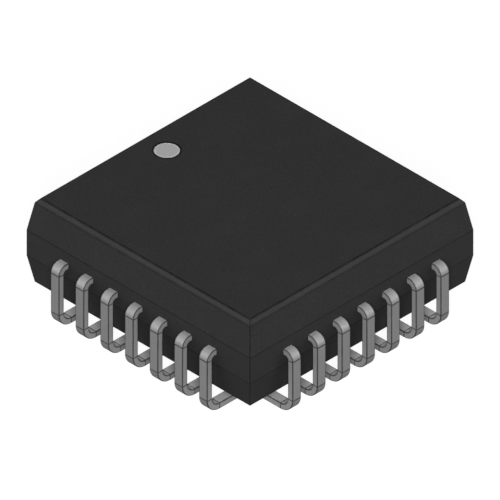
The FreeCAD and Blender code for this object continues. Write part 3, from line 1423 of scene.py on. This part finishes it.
    def build(self, embedded: list[bpy.types.Object]) -> list[bpy.types.Object]:
        """Moulds the body round the embedded pieces.

        Args:
            embedded: Closed pieces in millimetres that the compound surrounds.

        Returns:
            The body and the dot, in millimetres.
        """
        package = self.package
        levels = self.levels()
        rims = [levels[number] for number in self.rounded_levels]
        material = self.compound.material(rims, package.dot_place, package.dot_radius)
        body = self.block(material)
        cutters = self.pockets(material) + [self.dimple()]
        Workshop.carve(body, embedded + cutters)
        for cutter in cutters:
            bpy.data.objects.remove(cutter)
        Workshop.sharpen(body, self.sharp_angle)
        return [body, self.dot()]


@dataclass
class ChipStack:
    """What is sealed in the moulding beside the leads: paddle, glue, die and bond wires."""

    package: Package
    copper: InnerMetal = InnerMetal(
        "paddle_copper", colour=(0.62, 0.33, 0.20), stain=(0.35, 0.16, 0.10), roughness=0.38
    )
    gold: InnerMetal = InnerMetal(
        "gold_wire", colour=(0.92, 0.62, 0.22), stain=(0.80, 0.50, 0.16), roughness=0.22
    )
    glue: SilverEpoxy = SilverEpoxy()
    silicon: PatternedSilicon = PatternedSilicon()
    pad_inset: float = 0.12
    pad_corner_inset: float = 0.40

    def dress(self) -> list[bpy.types.Object]:
        """Gives the hidden CAD nodes their finishes.

        Returns:
            The nodes.
        """
        _, die_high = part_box("silicon_die")
        die_half = die_high.x / MM
        pads = self.package.leads_per_side
        pitch = 2 * (die_half - self.pad_corner_inset) / (pads - 1)
        finishes = {
            "die_paddle": self.copper.material(),
            "die_attach": self.glue.material(),
            "silicon_die": self.silicon.material(die_high.z / MM, die_half - self.pad_inset, pitch, pads),
        }
        wires = [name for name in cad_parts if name.startswith("bond_wires")]
        finishes.update(dict.fromkeys(wires, self.gold.material()))
        for name, material in finishes.items():
            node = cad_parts[name]
            for slot in node.material_slots:
                slot.material = material
            LOG.info("%s: %s", name, material.name)
        return [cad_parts[name] for name in finishes]


@dataclass(frozen=True)
class Softbox:
    """A square soft light. Its level is how light a white card gets where the light aims."""

    name: str
    azimuth: float
    elevation: float
    side: float
    level: float
    distance: float = 0.30

    def hang(self, target: Vector) -> None:
        """Puts the light in the scene.

        Args:
            target: The point that it faces, in metres.
        """
        light = bpy.data.lights.new(self.name, "AREA")
        light.shape = "SQUARE"
        light.size = self.side
        light.energy = self.level * (math.pi * self.distance) ** 2
        lamp = Workshop.blank(self.name, light)
        Workshop.aim(lamp, target, Studio.direction(self.azimuth, self.elevation), self.distance)


@dataclass
class Studio:
    """The pale floor, the soft lights and the camera of the photograph's view."""

    package: Package
    view_azimuth: float = -45.0
    view_elevation: float = 35.264
    image_width: float = 18.178
    aim_height: float = 2.260
    camera_distance: float = 0.12
    clipping: Span = (0.001, 2.0)
    floor_half: float = 0.40
    ambient: float = 0.10
    floor_bounce: float = 0.14
    floor_glow: float = 0.92
    gloss_share: float = 0.20
    lamps: tuple[Softbox, ...] = (
        Softbox("front_light", azimuth=-45.0, elevation=30.0, side=0.10, level=1.08),
        Softbox("left_light", azimuth=-135.0, elevation=15.0, side=0.20, level=0.27),
        Softbox("right_light", azimuth=45.0, elevation=15.0, side=0.20, level=0.27),
        Softbox("left_rear_light", azimuth=180.0, elevation=4.0, side=0.15, level=0.58),
        Softbox("right_rear_light", azimuth=90.0, elevation=4.0, side=0.15, level=0.58),
        Softbox("under_light", azimuth=-45.0, elevation=-90.0, side=0.20, level=0.22),
    )

    @staticmethod
    def direction(azimuth: float, elevation: float) -> Vector:
        """The way from the chip to a viewer.

        Args:
            azimuth: In degrees, 0 on the -Y side and 90 on the +X side.
            elevation: In degrees above the floor.

        Returns:
            The unit vector.
        """
        turn = math.radians(azimuth)
        rise = math.radians(elevation)
        level = math.cos(rise)
        return Vector((level * math.sin(turn), -level * math.cos(turn), math.sin(rise)))

    def seen(self, graph: Graph) -> Signal:
        """How much of the white background a ray shows: all to the camera, a share in gloss and glass.

        Args:
            graph: The tree that asks.

        Returns:
            The share.
        """
        path = graph.node("ShaderNodeLightPath")
        kinds = ("Is Camera Ray", "Is Glossy Ray", "Is Transmission Ray")
        camera, glossy, clear = (Signal(graph, path.outputs[kind]) for kind in kinds)
        return camera.max(glossy.max(clear) * self.gloss_share)

    def camera(self) -> None:
        """Makes the camera, which looks with parallel rays."""
        data = bpy.data.cameras.new("view")
        data.type = "ORTHO"
        data.ortho_scale = self.image_width * MM
        data.clip_start, data.clip_end = self.clipping
        camera = Workshop.blank("view", data)
        target = Vector((0.0, 0.0, self.aim_height * MM))
        way = self.direction(self.view_azimuth, self.view_elevation)
        Workshop.aim(camera, target, way, self.camera_distance)
        bpy.context.scene.camera = camera

    def floor(self) -> None:
        """Makes the floor: white from above but for a soft shadow, clear from below and to the lamps."""
        mesh = bpy.data.meshes.new("floor")
        half = self.floor_half
        corners = [(-half, -half, 0.0), (half, -half, 0.0), (half, half, 0.0), (-half, half, 0.0)]
        mesh.from_pydata(corners, [], [(0, 1, 2, 3)])
        floor = Workshop.blank("floor", mesh)
        graph = ShaderGraph("pale_floor")
        diffuse = graph.signal("ShaderNodeBsdfDiffuse", None, {"Color": (self.floor_bounce,) * 3})
        values = {"Color": WHITE, "Strength": self.seen(graph) * self.floor_glow}
        glow = graph.signal("ShaderNodeEmission", None, values)
        both = graph.signal("ShaderNodeAddShader", None, {0: diffuse, 1: glow})
        below = graph.signal("ShaderNodeNewGeometry", None, None, "Backfacing")
        to_lamp = graph.signal("ShaderNodeLightPath", None, None, "Is Shadow Ray")
        values = {0: below.max(to_lamp), 1: both, 2: graph.signal("ShaderNodeBsdfTransparent")}
        mesh.materials.append(graph.surface(graph.signal("ShaderNodeMixShader", None, values)))

    def sky(self) -> None:
        """Makes the world: white to the eye, an even grey light to the chip."""
        world = bpy.data.worlds.new("studio")
        bpy.context.scene.world = world
        world.use_nodes = True
        graph = Graph(world.node_tree)
        graph.tree.nodes.clear()
        strength = self.ambient + self.seen(graph) * (1.0 - self.ambient)
        background = graph.signal("ShaderNodeBackground", None, {"Color": WHITE, "Strength": strength})
        graph.node("ShaderNodeOutputWorld", None, {"Surface": background})

    def lights(self) -> None:
        """Hangs the soft lights."""
        for lamp in self.lamps:
            lamp.hang(Vector((0.0, 0.0, self.package.top_face / 2 * MM)))

    def build(self) -> None:
        """Sets the whole studio up."""
        bpy.context.scene.view_settings.view_transform = "Standard"
        self.camera()
        self.floor()
        self.sky()
        self.lights()


def main() -> None:
    """Builds the studio and every piece of the chip carrier."""
    logging.basicConfig(level=logging.INFO, format="%(name)s %(message)s")
    package = Package.from_frame()
    Studio(package).build()

    stack = ChipStack(package).dress()
    leads = LeadRow(package, LeadPlating()).build()
    buried = [Workshop.scaled_copy(node, 1 / MM) for node in stack]
    body, dot = Moulding(package, MouldCompound(), DotInk()).build(leads + buried)
    for copy in buried:
        bpy.data.objects.remove(copy)
    for lead in leads:
        Workshop.deliver(lead, "lead_plating", [lead.name.removeprefix("plated_")])
    Workshop.deliver(body, "mould_compound", ["moulded_body"])
    Workshop.deliver(dot, "dot_ink", ["pin_1_dot"])


if __name__ == "__main__":
    main()
